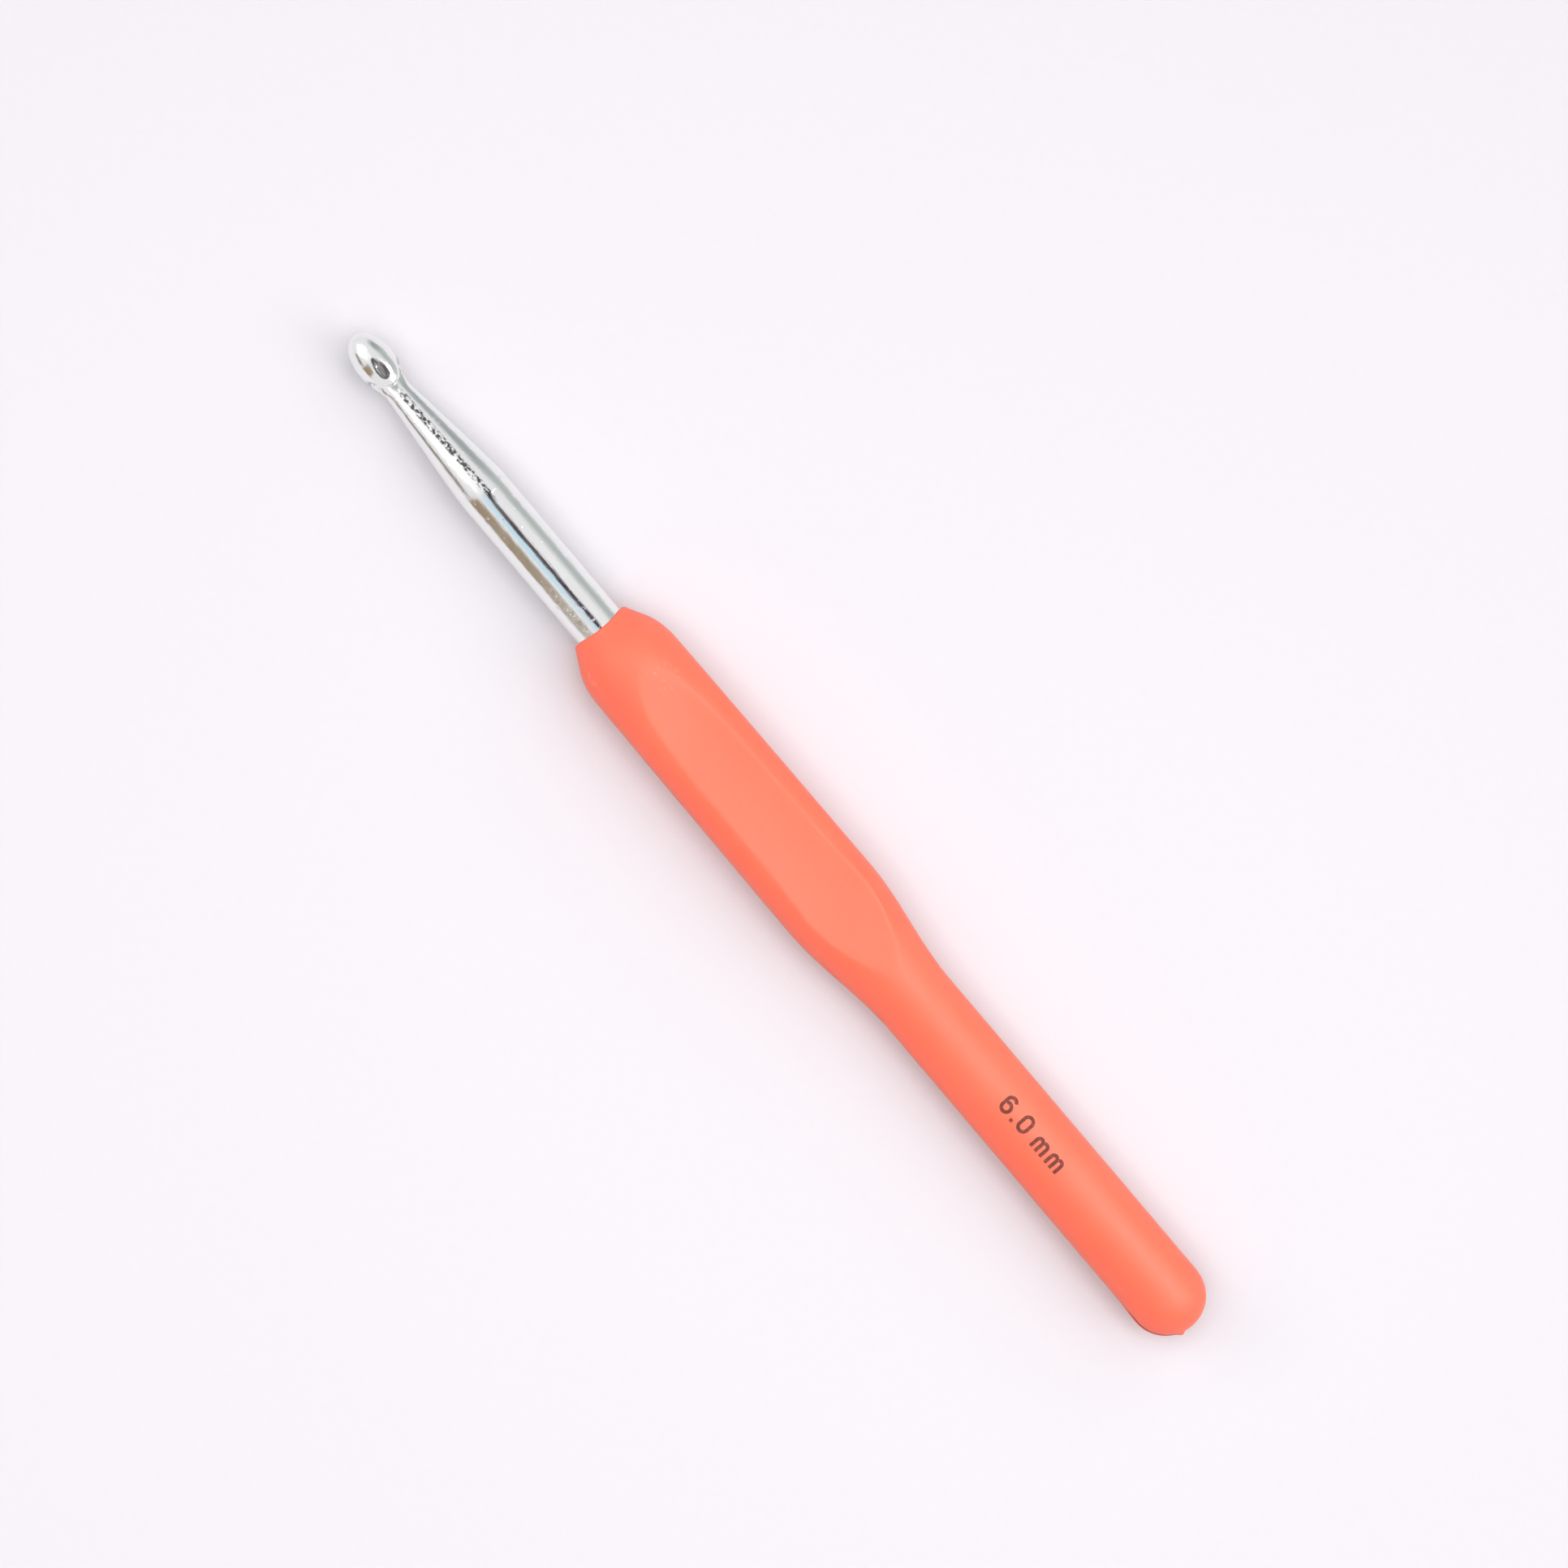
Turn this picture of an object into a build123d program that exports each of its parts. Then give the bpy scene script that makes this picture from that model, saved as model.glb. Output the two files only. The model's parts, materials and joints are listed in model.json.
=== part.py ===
from build123d import *
import math
import os

# Crochet hook, size 6.0 mm, with a soft grip. All sizes are in millimetres.
# X runs along the hook, from the head at -X to the butt at +X. Y runs across it. +Z is up, the side
# that the throat and the thumb rest face. The hook lies on the plane Z = 0 with the flat under its
# grip, and the origin is in that plane, under the middle of the hook's length. The pieces are drawn
# round the hook's own axis and lifted by REST_HEIGHT when they are written.

# Overall
OVERALL_LENGTH = 145.0
TIP_X = -OVERALL_LENGTH / 2
BUTT_X = OVERALL_LENGTH / 2
REST_HEIGHT = 4.5

# Metal shaft: head
HEAD_LENGTH = 8.0
HEAD_WIDTH = 4.6
HEAD_HEIGHT_RATIO = 1.1
HEAD_WIDEST = 3.9
HEAD_DROP = 0.15
HEAD_REAR_FULLNESS = 0.72
QUARTER_ELLIPSE = 0.5523

# Metal shaft: throat, a slot with a round root that opens towards the taper
THROAT_ROOT_X = TIP_X + 6.35
THROAT_ROOT_Z = 0.15
THROAT_ROOT_RADIUS = 0.85
THROAT_MOUTH_X = TIP_X + 9.5
THROAT_LIP_DROP = 0.1
THROAT_WIDTH = 8.0
THROAT_EDGE_RADIUS = 0.3

# Metal shaft: neck, taper and shank
SHANK_RADIUS = 3.0
SHANK_START_X = -49.0
NECK_X = TIP_X + 6.2
NECK_HALF_WIDTH = 1.32
NECK_FLATNESS = 0.85
NECK_BOTTOM = -2.68
NECK_LEAD = 3.2
NECK_LEAD_RISE = 0.56
TAPER_STATIONS = 7
TAPER_ROUNDING = 8
SHANK_END_X = -29.9

# Metal shaft: what the grip covers, a thinner land and the tang behind it
LAND_RADIUS = 2.8
LAND_END_X = -26.0
TANG_RADIUS = 2.25
TANG_END_X = 32.0
TANG_CHAMFER = 0.5
TANG_GROOVE_COUNT = 3
TANG_GROOVE_PITCH = 5.0
TANG_GROOVE_WIDTH = 2.0
TANG_GROOVE_DEPTH = 0.4
TANG_FLAT_LENGTH = 12.0
TANG_FLAT_HEIGHT = 1.7

# Core, the hard tube inside the grip
CORE_RADIUS = 3.5
CORE_TAIL_RADIUS = 3.2
CORE_STEP_X = 14.0
CORE_TAPER_END_X = 22.0
CORE_END_X = 66.0
CORE_GROOVE_COUNT = 5
CORE_GROOVE_START_X = -18.0
CORE_GROOVE_PITCH = 7.0
CORE_GROOVE_WIDTH = 2.5
CORE_GROOVE_DEPTH = 0.45

# Grip, the soft outer moulding: radii of its turned outline
MOUTH_X = SHANK_END_X
MOUTH_RADIUS = 3.5
MOUTH_HOLLOW = 0.45
CONE_LENGTH = 2.4
CONE_RADIUS = 4.8
SHOULDER_X = -22.8
SHOULDER_RADIUS = 5.76
SWELL_X = 10.2
SWELL_RADIUS = 5.92
WAIST_X = 25.4
TAIL_RADIUS = 4.4

# Thumb rest: a shallow scoop on top, with a pointed oval outline
THUMB_FLOOR = 4.6
THUMB_FRONT_X = -22.8
THUMB_FLOOR_START_X = -10.0
THUMB_FLOOR_END_X = 8.0
THUMB_REAR_X = 20.8
THUMB_REAR_HEIGHT = 4.8
THUMB_OVERRUN = 1.35

# Finger flat: a plain flat on the underside of the swell
FLAT_END_X = 30.0

# Size mark: numerals inlaid in the top of the tail
MARK_X = 44.3
MARK_HEIGHT = 2.33
MARK_STROKE = 0.42
MARK_GLYPH_WIDTH = 1.55
MARK_GAP = 0.45
MARK_WORD_GAP = 1.1
MARK_LOWER_HEIGHT = 1.7
MARK_ARCH_WIDTH = 1.2
MARK_SIX_OPENING_Y = 0.1
MARK_DEPTH = 0.06

# How far the cutting tools reach past what they cut: the large ones, and those in a groove or bore
PAST = 20.0
MARGIN = 1.0


def turned(outline):
    """Turn an outline, drawn as radius over X in the XY plane, round the X axis."""
    return revolve(make_face(outline), axis=Axis.X, revolution_arc=360)


def rod(start_x, end_x, radius):
    """A plain cylinder along X."""
    plane = Plane(origin=(start_x, 0, 0), x_dir=(0, 1, 0), z_dir=(1, 0, 0))
    return extrude(plane * Circle(radius), amount=end_x - start_x)


def ring(start_x, end_x, inner_radius, outer_radius):
    """A tube along X, used to cut grooves and to pick out a skin."""
    return rod(start_x, end_x, outer_radius) - rod(start_x, end_x, inner_radius)


def slab(outline, width):
    """Extrude an outline, drawn in the XZ plane, to both sides of it."""
    return extrude(make_face(outline), amount=width / 2, both=True)


def head_egg():
    """The head before its throat is cut: an egg, wider than the neck and taller than wide."""
    half_width = HEAD_WIDTH / 2
    widest_x = TIP_X + HEAD_WIDEST
    rear_x = TIP_X + HEAD_LENGTH
    front_reach = QUARTER_ELLIPSE * HEAD_WIDEST
    rear_reach = HEAD_REAR_FULLNESS * (rear_x - widest_x)
    outline = [
        Bezier(
            (TIP_X, 0),
            (TIP_X, QUARTER_ELLIPSE * half_width),
            (widest_x - front_reach, half_width),
            (widest_x, half_width),
        ),
        Bezier(
            (widest_x, half_width),
            (widest_x + rear_reach, half_width),
            (rear_x, HEAD_REAR_FULLNESS * half_width),
            (rear_x, 0),
        ),
        Line((rear_x, 0), (TIP_X, 0)),
    ]
    egg = scale(turned(outline), by=(1, 1, HEAD_HEIGHT_RATIO))
    return Pos(0, 0, -HEAD_DROP) * egg


def throat_cutter():
    """The slot under the lip: a round root, a lip side that drops a little, and a level floor."""
    top = THROAT_ROOT_Z + THROAT_ROOT_RADIUS
    bottom = THROAT_ROOT_Z - THROAT_ROOT_RADIUS
    outline = [
        Line((THROAT_ROOT_X, 0, top), (THROAT_MOUTH_X, 0, top - THROAT_LIP_DROP)),
        Line((THROAT_MOUTH_X, 0, top - THROAT_LIP_DROP), (THROAT_MOUTH_X, 0, bottom)),
        Line((THROAT_MOUTH_X, 0, bottom), (THROAT_ROOT_X, 0, bottom)),
        ThreePointArc(
            (THROAT_ROOT_X, 0, bottom),
            (THROAT_ROOT_X - THROAT_ROOT_RADIUS, 0, THROAT_ROOT_Z),
            (THROAT_ROOT_X, 0, top),
        ),
    ]
    return slab(outline, THROAT_WIDTH)


def head():
    """The head with its throat cut, and every edge of the cut rounded so that yarn doesn't catch."""
    cut_egg = head_egg() - throat_cutter()
    slot_edges = [
        edge
        for face in cut_egg.faces()
        if face.geom_type in (GeomType.PLANE, GeomType.CYLINDER)
        for edge in face.edges()
    ]
    return fillet(slot_edges, THROAT_EDGE_RADIUS)


def shaft_section(x, half_width, half_height, centre_z):
    """One cross-section of the neck and taper."""
    plane = Plane(origin=(x, 0, centre_z), x_dir=(0, 1, 0), z_dir=(1, 0, 0))
    return plane * Ellipse(half_width, half_height)


def taper_section(share):
    """The section at a share of the way from neck to shank: an even taper that rounds off at its end."""
    growth = share * (TAPER_ROUNDING + 1 - share ** TAPER_ROUNDING) / TAPER_ROUNDING
    half_width = NECK_HALF_WIDTH + (SHANK_RADIUS - NECK_HALF_WIDTH) * growth
    half_height = half_width * (NECK_FLATNESS + (1 - NECK_FLATNESS) * share)
    bottom = NECK_BOTTOM - (SHANK_RADIUS + NECK_BOTTOM) * share
    x = NECK_X + (SHANK_START_X - NECK_X) * share
    return shaft_section(x, half_width, half_height, bottom + half_height)


def neck_and_taper():
    """From inside the head to the shank. The underside stays nearly level and the top rises."""
    lead_height = NECK_HALF_WIDTH * NECK_FLATNESS
    lead_centre = NECK_BOTTOM + lead_height + NECK_LEAD_RISE
    sections = [shaft_section(NECK_X - NECK_LEAD, NECK_HALF_WIDTH, lead_height, lead_centre)]
    for index in range(TAPER_STATIONS):
        sections.append(taper_section(index / (TAPER_STATIONS - 1)))
    return loft(sections)


def tang():
    """The hidden end of the shaft: a thinner rod with grooves and two flats that stop it turning."""
    tang_rod = rod(LAND_END_X, TANG_END_X, TANG_RADIUS)
    tang_rod = chamfer(tang_rod.faces().sort_by(Axis.X)[-1].edges(), TANG_CHAMFER)
    for index in range(TANG_GROOVE_COUNT):
        start_x = index * TANG_GROOVE_PITCH
        end_x = start_x + TANG_GROOVE_WIDTH
        tang_rod -= ring(start_x, end_x, TANG_RADIUS - TANG_GROOVE_DEPTH, TANG_RADIUS + MARGIN)
    for side in (-1, 1):
        centre_x = TANG_END_X - TANG_FLAT_LENGTH / 2
        centre_z = side * (TANG_FLAT_HEIGHT + PAST / 2)
        tang_rod -= Pos(centre_x, 0, centre_z) * Box(TANG_FLAT_LENGTH, PAST, PAST)
    return tang_rod


def hook_shaft():
    """The metal piece: head, lip, throat, neck, taper, shank, covered land and tang."""
    shaft = head() + neck_and_taper()
    shaft += rod(SHANK_START_X, SHANK_END_X, SHANK_RADIUS)
    shaft += rod(SHANK_END_X, LAND_END_X, LAND_RADIUS)
    shaft += tang()
    return shaft


def core_blank():
    """The core's outside with its grooves, before the tang's hole."""
    outline = Polyline(
        (LAND_END_X, 0),
        (LAND_END_X, CORE_RADIUS),
        (CORE_STEP_X, CORE_RADIUS),
        (CORE_TAPER_END_X, CORE_TAIL_RADIUS),
        (CORE_END_X, CORE_TAIL_RADIUS),
        (CORE_END_X, 0),
        close=True,
    )
    blank = turned(outline)
    for index in range(CORE_GROOVE_COUNT):
        start_x = CORE_GROOVE_START_X + index * CORE_GROOVE_PITCH
        end_x = start_x + CORE_GROOVE_WIDTH
        blank -= ring(start_x, end_x, CORE_RADIUS - CORE_GROOVE_DEPTH, CORE_RADIUS + MARGIN)
    return blank


def grip_outside():
    """The grip's turned outside: cone at the mouth, shoulder, long swell, waist, tail, round butt."""
    cone_end = (MOUTH_X + CONE_LENGTH, CONE_RADIUS)
    shoulder = (SHOULDER_X, SHOULDER_RADIUS)
    swell = (SWELL_X, SWELL_RADIUS)
    waist = (WAIST_X, TAIL_RADIUS)
    butt_centre_x = BUTT_X - TAIL_RADIUS
    shoulder_third = (SHOULDER_X - cone_end[0]) / 3
    cone_slope = (CONE_RADIUS - MOUTH_RADIUS) / CONE_LENGTH
    waist_third = (WAIST_X - SWELL_X) / 3
    butt_middle = TAIL_RADIUS * math.sqrt(0.5)
    outline = [
        Line((MOUTH_X, 0), (MOUTH_X, MOUTH_RADIUS)),
        Line((MOUTH_X, MOUTH_RADIUS), cone_end),
        Bezier(
            cone_end,
            (cone_end[0] + shoulder_third, CONE_RADIUS + cone_slope * shoulder_third),
            (SHOULDER_X - shoulder_third, SHOULDER_RADIUS),
            shoulder,
        ),
        Line(shoulder, swell),
        Bezier(
            swell,
            (SWELL_X + waist_third, SWELL_RADIUS),
            (WAIST_X - waist_third, TAIL_RADIUS),
            waist,
        ),
        Line(waist, (butt_centre_x, TAIL_RADIUS)),
        ThreePointArc(
            (butt_centre_x, TAIL_RADIUS),
            (butt_centre_x + butt_middle, butt_middle),
            (BUTT_X, 0),
        ),
        Line((BUTT_X, 0), (MOUTH_X, 0)),
    ]
    return turned(outline)


def run_out(start_x, end_x, height, end_height):
    """A parabola that leaves the scoop's floor level and rises past the grip's surface."""
    over_x = start_x + (end_x - start_x) * THUMB_OVERRUN
    over_height = height + (end_height - height) * THUMB_OVERRUN ** 2
    return Bezier((start_x, 0, height), ((start_x + over_x) / 2, 0, height), (over_x, 0, over_height))


def thumb_cutter():
    """What the thumb rest takes away: everything above a floor that rises at both ends."""
    front = run_out(THUMB_FLOOR_START_X, THUMB_FRONT_X, THUMB_FLOOR, SHOULDER_RADIUS)
    rear = run_out(THUMB_FLOOR_END_X, THUMB_REAR_X, THUMB_FLOOR, THUMB_REAR_HEIGHT)
    front_end = front @ 1
    rear_end = rear @ 1
    outline = [
        front,
        Line((THUMB_FLOOR_START_X, 0, THUMB_FLOOR), (THUMB_FLOOR_END_X, 0, THUMB_FLOOR)),
        rear,
        Line(rear_end, (rear_end.X, 0, PAST)),
        Line((rear_end.X, 0, PAST), (front_end.X, 0, PAST)),
        Line((front_end.X, 0, PAST), front_end),
    ]
    return slab(outline, PAST)


def flat_cutter():
    """What the finger flat takes away: everything below the plane that the hook lies on."""
    length = FLAT_END_X - MOUTH_X + MARGIN
    centre_x = FLAT_END_X - length / 2
    return Pos(centre_x, 0, -REST_HEIGHT - PAST / 2) * Box(length, PAST, PAST)


def mouth_cutter():
    """The mouth is hollow in plan: its sides reach further along the shank than its top."""
    radius = (MOUTH_RADIUS ** 2 + MOUTH_HOLLOW ** 2) / (2 * MOUTH_HOLLOW)
    return Pos(MOUTH_X + MOUTH_HOLLOW - radius, 0, 0) * Cylinder(radius, PAST)


def numeral_zero():
    """An upright oval with straight sides."""
    outer = SlotOverall(MARK_HEIGHT, MARK_GLYPH_WIDTH)
    inner = SlotOverall(MARK_HEIGHT - 2 * MARK_STROKE, MARK_GLYPH_WIDTH - 2 * MARK_STROKE)
    return Rot(0, 0, 90) * (outer - inner)


def numeral_six():
    """The left side and top of a zero, closed by a round bowl."""
    bowl_radius = MARK_GLYPH_WIDTH / 2
    bowl = Circle(bowl_radius) - Circle(bowl_radius - MARK_STROKE)
    bowl = Pos(0, bowl_radius - MARK_HEIGHT / 2) * bowl
    open_side = Pos(bowl_radius, MARK_SIX_OPENING_Y) * Rectangle(MARK_GLYPH_WIDTH, MARK_HEIGHT / 2)
    return (numeral_zero() - open_side) + bowl


def point():
    """The decimal point."""
    return Pos(0, (MARK_STROKE - MARK_HEIGHT) / 2) * Rectangle(MARK_STROKE, MARK_STROKE)


def letter_m():
    """Two arches side by side, standing on the numerals' base line."""
    radius = MARK_ARCH_WIDTH / 2
    arch = Circle(radius) - Circle(radius - MARK_STROKE)
    arch -= Pos(0, -radius) * Rectangle(MARK_ARCH_WIDTH, MARK_ARCH_WIDTH)
    leg_height = MARK_LOWER_HEIGHT - radius
    leg = Rectangle(MARK_STROKE, leg_height)
    leg_x = radius - MARK_STROKE / 2
    for side in (-1, 1):
        arch += Pos(side * leg_x, -leg_height / 2) * leg
    base_y = leg_height - MARK_HEIGHT / 2
    return Pos(-leg_x, base_y) * arch + Pos(leg_x, base_y) * arch


def mark_outline():
    """The size mark, laid out from left to right and centred on its own length."""
    arch_width = 2 * MARK_ARCH_WIDTH - MARK_STROKE
    glyphs = [
        (numeral_six(), MARK_GLYPH_WIDTH, MARK_GAP),
        (point(), MARK_STROKE, MARK_GAP),
        (numeral_zero(), MARK_GLYPH_WIDTH, MARK_WORD_GAP),
        (letter_m(), arch_width, MARK_GAP),
        (letter_m(), arch_width, 0),
    ]
    total = sum(width + gap for _, width, gap in glyphs)
    left = -total / 2
    placed = []
    for glyph, width, gap in glyphs:
        placed.append(Pos(left + width / 2, 0) * glyph)
        left += width + gap
    return placed


def size_mark():
    """The mark's numerals and letters as thin separate inlays, flush with the tail's surface."""
    skin = ring(MARK_X - PAST, MARK_X + PAST, TAIL_RADIUS - MARK_DEPTH, TAIL_RADIUS)
    solids = []
    for glyph in mark_outline():
        column = extrude(Pos(MARK_X, 0, 0) * glyph, amount=PAST)
        solids += (column & skin).solids()
    return Compound(children=solids)


def build_pieces():
    """Make every piece in place. Each is cut by the ones it holds, so that they meet face to face."""
    shaft = hook_shaft()
    mark = size_mark()
    blank = core_blank()
    core = blank - shaft
    grip = grip_outside() - thumb_cutter() - flat_cutter() - mouth_cutter()
    grip -= rod(MOUTH_X - MARGIN, LAND_END_X, LAND_RADIUS)
    grip -= blank
    for inlay in mark.solids():
        grip -= inlay
    return {"hook_shaft": shaft, "grip_core": core, "soft_grip": grip, "size_mark": mark}


os.makedirs("parts", exist_ok=True)
for node, shape in build_pieces().items():
    export_step(Pos(0, 0, REST_HEIGHT) * shape, f"parts/{node}.step")
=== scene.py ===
import json
import math

import bmesh
import bpy
import numpy as np
from mathutils import Matrix, Vector


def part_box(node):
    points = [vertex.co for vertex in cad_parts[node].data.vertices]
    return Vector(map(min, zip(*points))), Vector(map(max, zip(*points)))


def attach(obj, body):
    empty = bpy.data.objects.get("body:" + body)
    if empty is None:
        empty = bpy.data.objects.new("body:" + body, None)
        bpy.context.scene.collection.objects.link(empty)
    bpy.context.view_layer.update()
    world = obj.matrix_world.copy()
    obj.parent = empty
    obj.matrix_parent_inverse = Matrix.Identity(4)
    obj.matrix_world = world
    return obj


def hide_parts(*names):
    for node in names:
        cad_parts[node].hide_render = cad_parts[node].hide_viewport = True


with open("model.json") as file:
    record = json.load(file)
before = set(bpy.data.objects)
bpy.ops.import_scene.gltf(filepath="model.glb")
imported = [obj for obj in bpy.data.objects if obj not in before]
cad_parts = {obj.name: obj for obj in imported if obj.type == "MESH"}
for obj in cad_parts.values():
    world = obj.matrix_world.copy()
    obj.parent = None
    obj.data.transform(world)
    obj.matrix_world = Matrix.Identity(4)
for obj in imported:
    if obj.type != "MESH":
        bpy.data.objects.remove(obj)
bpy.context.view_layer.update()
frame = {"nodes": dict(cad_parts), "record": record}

# The looks of a crochet hook, built round its CAD model. Blender works in metres, in the CAD frame:
# X runs from the head to the butt, Z is up, and the hook lies on Z = 0. Shapes are drawn here in
# millimetres round the hook's own axis, and lifted onto the CAD model's axis as they become meshes.

MM = 0.001


# ---------------------------------------------------------------- sizes from the CAD model

def millimetres(node):
    """A CAD node's lowest and highest corners, in millimetres."""
    low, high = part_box(node)
    return low / MM, high / MM


MOUNTS = {mount["name"]: mount for mount in frame["record"]["mounts"]}
SHANK_MOUNT = MOUNTS["shank"]
SHAFT_LOW, SHAFT_HIGH = millimetres("hook_shaft")
CORE_LOW, CORE_HIGH = millimetres("grip_core")
GRIP_LOW, GRIP_HIGH = millimetres("soft_grip")
MARK_LOW, MARK_HIGH = millimetres("size_mark")

AXIS_HEIGHT = SHANK_MOUNT["pos_m"][2] / MM
SHANK_RADIUS = SHANK_MOUNT["dims"]["r_mm"]
SHANK_START = SHANK_MOUNT["pos_m"][0] / MM - SHANK_MOUNT["dims"]["length_mm"] / 2
TIP = SHAFT_LOW.x
TANG_END = SHAFT_HIGH.x
LAND_END = CORE_LOW.x
CORE_END = CORE_HIGH.x
CORE_RADIUS = (CORE_HIGH.y - CORE_LOW.y) / 2
MOUTH = GRIP_LOW.x
BUTT = GRIP_HIGH.x
SWELL_RADIUS = (GRIP_HIGH.y - GRIP_LOW.y) / 2
MARK_CENTRE = (MARK_LOW.x + MARK_HIGH.x) / 2
MARK_HEIGHT = MARK_HIGH.y - MARK_LOW.y


# ---------------------------------------------------------------- smooth joining of shapes

def soft_min(a, b, size):
    """The smaller of two values, with the corner between them rounded off."""
    share = np.clip(0.5 + 0.5 * (b - a) / size, 0, 1)
    return b + (a - b) * share - size * share * (1 - share)


def soft_max(a, b, size):
    """The larger of two values, with the corner between them rounded off."""
    return -soft_min(-a, -b, size)


def ease(value, start, end):
    """0 before start, 1 after end, and a smooth S between them."""
    share = np.clip((value - start) / (end - start), 0, 1)
    return share * share * (3 - 2 * share)


def cubic(share, heights):
    """A cubic curve through the first and last height, pulled towards the two between."""
    rest = 1 - share
    a, b, c, d = heights
    return a * rest ** 3 + 3 * b * rest ** 2 * share + 3 * c * rest * share ** 2 + d * share ** 3


# ---------------------------------------------------------------- meshes

def mesh_object(name, points, faces):
    """A smooth-shaded object from points in millimetres round the hook's axis."""
    placed = np.asarray(points, float) * MM
    placed[:, 2] += AXIS_HEIGHT * MM
    mesh = bpy.data.meshes.new(name)
    mesh.from_pydata(placed.tolist(), [], faces)
    mesh.validate()
    mesh.shade_smooth()
    made = bpy.data.objects.new(name, mesh)
    bpy.context.scene.collection.objects.link(made)
    return made


def skin_rings(rings, first_pole, last_pole):
    """Points and faces of a closed skin over rings of equal length, with a pole at each end."""
    count = len(rings[0])
    points = [point for ring in rings for point in ring] + [first_pole, last_pole]
    first, last = len(points) - 2, len(points) - 1
    faces = []
    for row in range(len(rings) - 1):
        for column in range(count):
            following = (column + 1) % count
            near, far = row * count, (row + 1) * count
            faces.append((near + column, near + following, far + following, far + column))
    end = (len(rings) - 1) * count
    for column in range(count):
        following = (column + 1) % count
        faces.append((first, following, column))
        faces.append((last, end + column, end + following))
    return points, faces


def face_outwards(made):
    """Turn every face of a closed mesh outwards."""
    work = bmesh.new()
    work.from_mesh(made.data)
    bmesh.ops.recalc_face_normals(work, faces=work.faces)
    work.to_mesh(made.data)
    work.free()


# ---------------------------------------------------------------- metal shaft

SHAFT_COLUMNS = 72
HEAD_LENGTH = 8.0
HEAD_WIDEST = 3.9
HEAD_HALF_WIDTH = 2.3
HEAD_HALF_HEIGHT = 2.5
HEAD_DROP = 0.15
HEAD_FRONT_POWER = 2.0
HEAD_REAR_POWER = 2.7

FACET_HEIGHT = 1.95
FACET_TILT = math.radians(9)
FACET_ROLL = math.radians(-3)
FACET_EDGE = 0.06

THROAT_X = TIP + 6.35
THROAT_Z = 0.15
THROAT_RADIUS = 0.85
THROAT_TILT = math.radians(-2)
THROAT_WIDENING = 0.05
THROAT_EDGE = 0.55
THROAT_ROOT = np.array([THROAT_X, 0, THROAT_Z])

NECK_X = TIP + 6.2
NECK_LEAD = 3.2
NECK_HALF_WIDTH = 1.36
NECK_FLATNESS = 0.86
NECK_BOTTOM = -2.62
NECK_LEAD_RISE = 0.75
NECK_FILLET = 0.7
TAPER_ROUNDING = 8

# How the skin is drawn: rings across the shank and taper, then rings that turn round the throat
SHANK_RINGS = 46
TAPER_RINGS = 60
TURN_RINGS = 140
TURN_STEP = 0.1
LIP_TURN = 180.0
LIP_REACH = 8.0
LIP_POLE_OFFSET = 0.1
RAY_SAMPLES = 1601
LEAST_DEPTH = 0.2
THIN_RING_SHARE = 0.35
FULL_RING_THICKNESS = 3.0
SETTLE_STEPS = 6
SETTLE_NUDGE = 1e-4
LEAST_SLOPE = 1e-9

TANG_RADIUS = 2.25
TANG_CHAMFER = 0.5
TANG_FLAT = 1.7
TANG_FLAT_START = TANG_END - 12.0
TANG_GROOVE_DEPTH = 0.4
TANG_GROOVE_WIDTH = 2.0
TANG_GROOVE_PITCH = 5.0
TANG_GROOVES = 3
EDGE = 0.04


def egg_field(p):
    """Below 0 inside the head, before its throat is cut and its top is flattened."""
    along = p[:, 0] - (TIP + HEAD_WIDEST)
    in_front = along < 0
    reach = np.where(in_front, HEAD_WIDEST, HEAD_LENGTH - HEAD_WIDEST)
    power = np.where(in_front, HEAD_FRONT_POWER, HEAD_REAR_POWER)
    size = (
        (np.abs(along) / reach) ** power
        + (p[:, 1] / HEAD_HALF_WIDTH) ** 2
        + ((p[:, 2] + HEAD_DROP) / HEAD_HALF_HEIGHT) ** 2
    )
    return (np.sqrt(size) - 1) * HEAD_HALF_WIDTH


def throat_field(p):
    """Below 0 inside the slot under the lip, which widens as it opens towards the taper."""
    x, z = p[:, 0] - THROAT_X, p[:, 2] - THROAT_Z
    along = np.maximum(0, x * math.cos(THROAT_TILT) + z * math.sin(THROAT_TILT))
    off_x, off_z = x - along * math.cos(THROAT_TILT), z - along * math.sin(THROAT_TILT)
    return np.hypot(off_x, off_z) - THROAT_RADIUS - THROAT_WIDENING * along


def facet_field(p):
    """Below 0 under the small flat on top of the lip."""
    fall = (p[:, 0] - THROAT_X) * math.tan(FACET_TILT) + p[:, 1] * math.tan(FACET_ROLL)
    return p[:, 2] - FACET_HEIGHT + fall


def taper_size(x):
    """Half width, half height and centre height of the neck, taper and shank at x."""
    share = np.clip((x - NECK_X) / (SHANK_START - NECK_X), 0, 1)
    lead = np.clip((NECK_X - x) / NECK_LEAD, 0, 1)
    growth = share * (TAPER_ROUNDING + 1 - share ** TAPER_ROUNDING) / TAPER_ROUNDING
    half_width = NECK_HALF_WIDTH + (SHANK_RADIUS - NECK_HALF_WIDTH) * growth
    half_height = half_width * (NECK_FLATNESS + (1 - NECK_FLATNESS) * share)
    bottom = NECK_BOTTOM - (SHANK_RADIUS + NECK_BOTTOM) * share + NECK_LEAD_RISE * lead ** 2
    return half_width, half_height, bottom + half_height


def neck_field(p):
    """Below 0 inside the neck, taper and shank."""
    half_width, half_height, centre = taper_size(p[:, 0])
    size = np.sqrt((p[:, 1] / half_width) ** 2 + ((p[:, 2] - centre) / half_height) ** 2)
    return soft_max((size - 1) * half_height, NECK_X - NECK_LEAD - p[:, 0], NECK_FILLET)


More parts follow.
